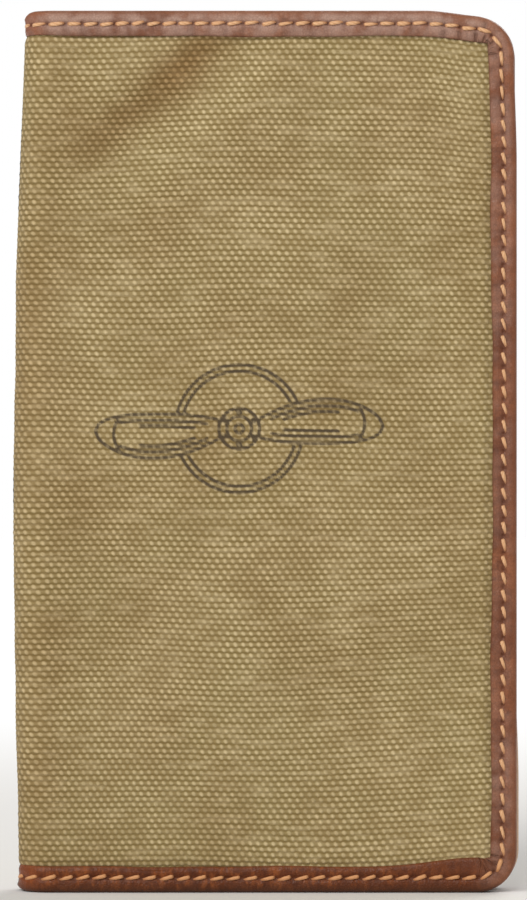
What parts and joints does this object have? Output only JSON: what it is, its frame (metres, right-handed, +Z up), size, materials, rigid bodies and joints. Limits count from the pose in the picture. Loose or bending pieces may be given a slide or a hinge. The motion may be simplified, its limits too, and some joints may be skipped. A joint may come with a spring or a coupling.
{
  "type": "bifold coat wallet",
  "caption": "Tall bifold coat wallet of coarse duck canvas with a stitched leather edge binding, leather card slots, full-length pockets and a ticket pocket.",
  "frame": {"origin": "middle of the bottom edge of the closed wallet, on the surface it stands on", "axes": "+Z up along the fold, +X from the fold towards the opening edge, -Y out of the front cover"},
  "size_m": [0.102, 0.014, 0.178],
  "materials": {
    "duck_canvas": "coarse plain weave, matt",
    "binding_leather": "oiled, satin, worn paler at the edges",
    "pocket_leather": "smooth, satin",
    "lining_cloth": "fine twill, matt",
    "stiffener_board": "matt",
    "waxed_thread": "waxed, slight sheen"
  },
  "bodies": {
    "back_cover": {"back_canvas": "duck_canvas", "back_stiffener": "stiffener_board", "back_lining": "lining_cloth", "back_long_pocket": "pocket_leather", "back_binding": "binding_leather", "back_binding_top_thread": "waxed_thread", "back_binding_bobbin_thread": "waxed_thread", "ticket_pocket": "pocket_leather", "ticket_pocket_thread": "waxed_thread"},
    "spine": {"spine_canvas": "duck_canvas", "spine_reinforcement": "pocket_leather", "spine_lining": "lining_cloth", "spine_binding_top": "binding_leather", "spine_top_thread_top": "waxed_thread", "spine_bobbin_thread_top": "waxed_thread", "spine_binding_bottom": "binding_leather", "spine_top_thread_bottom": "waxed_thread", "spine_bobbin_thread_bottom": "waxed_thread"},
    "front_cover": {"front_canvas": "duck_canvas", "front_stiffener": "stiffener_board", "front_lining": "lining_cloth", "front_long_pocket": "pocket_leather", "front_binding": "binding_leather", "front_binding_top_thread": "waxed_thread", "front_binding_bobbin_thread": "waxed_thread", "lower_card_slot_1": "pocket_leather", "lower_card_slot_2": "pocket_leather", "lower_card_slot_3": "pocket_leather", "lower_card_slot_thread": "waxed_thread", "upper_card_slot_1": "pocket_leather", "upper_card_slot_2": "pocket_leather", "upper_card_slot_3": "pocket_leather", "upper_card_slot_thread": "waxed_thread"}
  },
  "joints": [
    {"name": "back_fold", "type": "hinge", "parent": "back_cover", "child": "spine", "pos_m": [-0.04828, 0.00428, 0], "axis": [0, 0, -1], "range_deg": [0, 90]},
    {"name": "front_fold", "type": "hinge", "parent": "spine", "child": "front_cover", "pos_m": [-0.04828, -0.00428, 0], "axis": [0, 0, -1], "range_deg": [0, 90]}
  ],
  "couplings": [
    {"joint": "front_fold", "follows": "back_fold", "ratio": 1}
  ]
}
